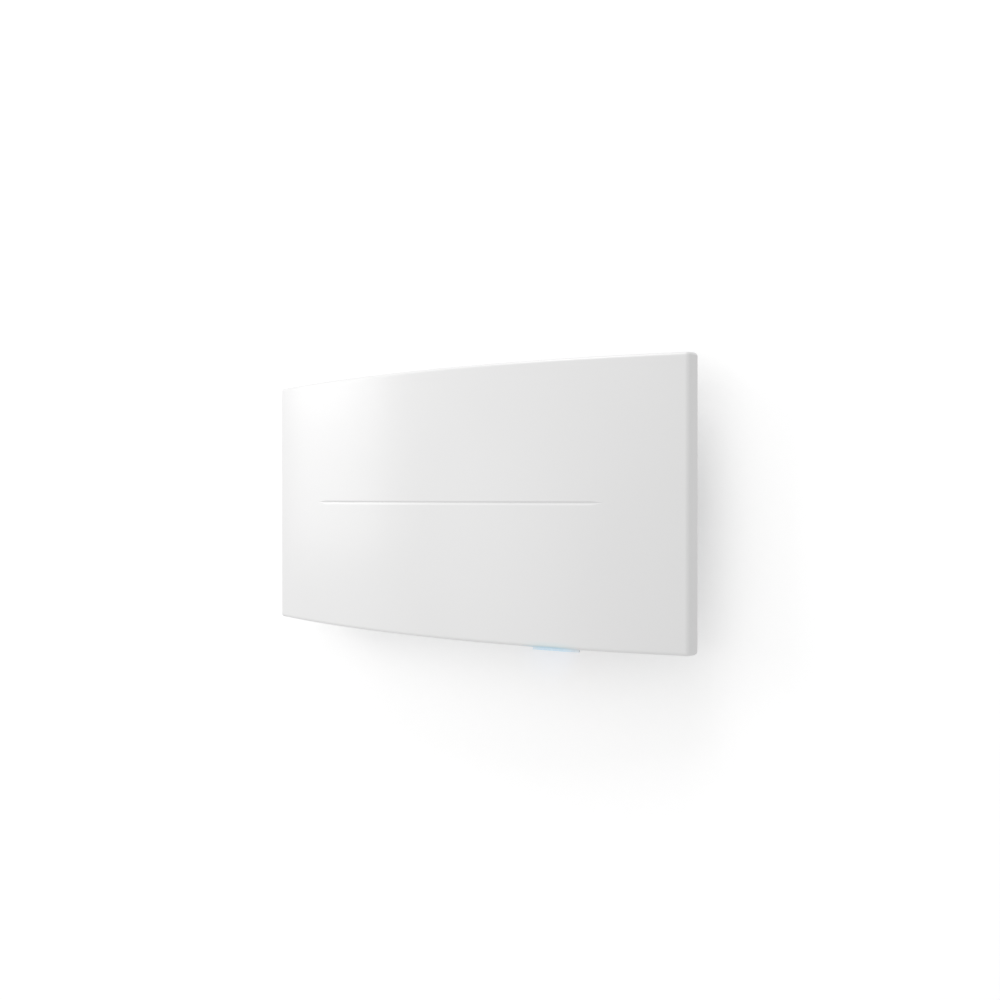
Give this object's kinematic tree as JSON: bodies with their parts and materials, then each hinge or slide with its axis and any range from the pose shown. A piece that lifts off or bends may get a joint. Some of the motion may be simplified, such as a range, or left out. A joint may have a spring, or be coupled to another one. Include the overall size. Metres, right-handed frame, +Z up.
{
  "type": "wall battery unit",
  "caption": "White wall-hung battery cabinet with a wide bowed front, a fine level crease across it and a small light under its lower edge.",
  "frame": {"origin": "centre of the rectangle of wall bolt holes, on the bracket's back face, which lies on the wall", "axes": "+X to the right as seen from in front, +Y into the wall, +Z up"},
  "size_m": [0.98, 0.1879, 0.55],
  "materials": {
    "cover_plastic": "smooth white moulding, satin-gloss",
    "light_plastic": "translucent, lit pale blue",
    "grille_plastic": "white, fine matt",
    "pin_plastic": "dark acetal",
    "bracket_steel": "light grey powder coat",
    "box_steel": "pale grey powder coat",
    "zinc_steel": "bright zinc plate",
    "inner_steel": "plain galvanised sheet",
    "gasket_rubber": "closed-cell foam rubber",
    "black_rubber": "moulded, matt",
    "cell_can": "aluminium can in blue film",
    "thermal_pad": "soft filled silicone",
    "aluminium_plate": "milled",
    "tray_plastic": "orange flame-retardant",
    "busbar_aluminium": "bright, rolled",
    "circuit_board": "green solder mask",
    "link_sleeve": "orange sleeve",
    "cable_orange": "orange jacket",
    "cable_black": "black jacket",
    "cable_grey": "grey jacket",
    "device_plastic": "dark grey moulding",
    "fuse_ceramic": "off-white body",
    "heatsink": "grey anodised extrusion",
    "terminal_plastic": "pale polyamide",
    "brass_bar": "plain brass",
    "hub_zinc": "die-cast, satin",
    "plate_yellow": "yellow enamel",
    "knob_red": "red moulding",
    "handle_black": "black powder coat"
  },
  "bodies": {
    "unit": {"bracket_hook_rail": "bracket_steel", "bracket_lower_rail": "bracket_steel", "bracket_uprights": "bracket_steel", "lock_screws": "zinc_steel", "rear_chassis": "box_steel", "hanging_rail": "zinc_steel", "hanging_rivets": "aluminium_plate", "standoff_pads": "black_rubber", "bay_divider": "inner_steel", "wiring_partition": "inner_steel", "enclosure_gasket": "gasket_rubber", "enclosure_lid": "box_steel", "lid_screws": "zinc_steel", "wiring_cover": "box_steel", "wiring_cover_screws": "zinc_steel", "cells_upper": "cell_can", "cells_middle": "cell_can", "cells_lower": "cell_can", "thermal_pads": "thermal_pad", "module_end_plates": "aluminium_plate", "module_side_plates": "inner_steel", "module_bolts": "zinc_steel", "busbar_trays": "tray_plastic", "cell_busbars": "busbar_aluminium", "cell_sense_boards": "circuit_board", "module_links": "link_sleeve", "dc_cable_positive": "cable_orange", "dc_cable_negative": "cable_black", "contactors": "device_plastic", "dc_fuse": "fuse_ceramic", "bms_board": "circuit_board", "power_modules": "heatsink", "power_module_plugs": "device_plastic", "module_rails": "inner_steel", "dc_trunk_cable": "cable_orange", "ac_trunk_cable": "cable_grey", "trunk_grommet": "black_rubber", "terminal_block": "terminal_plastic", "ground_bar": "brass_bar", "data_port_board": "circuit_board", "gland_plate": "zinc_steel", "gland_plate_screws": "zinc_steel", "conduit_hub_power": "hub_zinc", "conduit_hub_data": "hub_zinc", "hub_locknuts": "zinc_steel", "pressure_vent": "pin_plastic", "dc_switch_body": "device_plastic", "dc_switch_plate": "plate_yellow", "handle_mounts": "zinc_steel", "cover_brackets": "zinc_steel", "cover_sockets": "black_rubber", "status_led_holder": "device_plastic", "status_led_board": "circuit_board"},
    "cover": {"front_cover": "cover_plastic", "light_pipe": "light_plastic", "vent_grilles": "grille_plastic", "cover_pins": "pin_plastic"},
    "switch_knob": {"dc_switch_knob": "knob_red"},
    "bail_left": {"handle_left": "handle_black"},
    "bail_right": {"handle_right": "handle_black"}
  },
  "joints": [
    {"name": "cover_slide", "type": "slide", "parent": "unit", "child": "cover", "axis": [0, -1, 0], "range_m": [0, 0.3]},
    {"name": "dc_switch_turn", "type": "hinge", "parent": "unit", "child": "switch_knob", "pos_m": [0.2, -0.066, -0.24], "axis": [0, 0, 1], "range_deg": [0, 90]},
    {"name": "handle_left_swing", "type": "hinge", "parent": "unit", "child": "bail_left", "pos_m": [-0.4335, -0.064, 0.03], "axis": [0, 1, 0], "range_deg": [0, 90]},
    {"name": "handle_right_swing", "type": "hinge", "parent": "unit", "child": "bail_right", "pos_m": [0.4335, -0.064, 0.03], "axis": [0, -1, 0], "range_deg": [0, 90]}
  ]
}
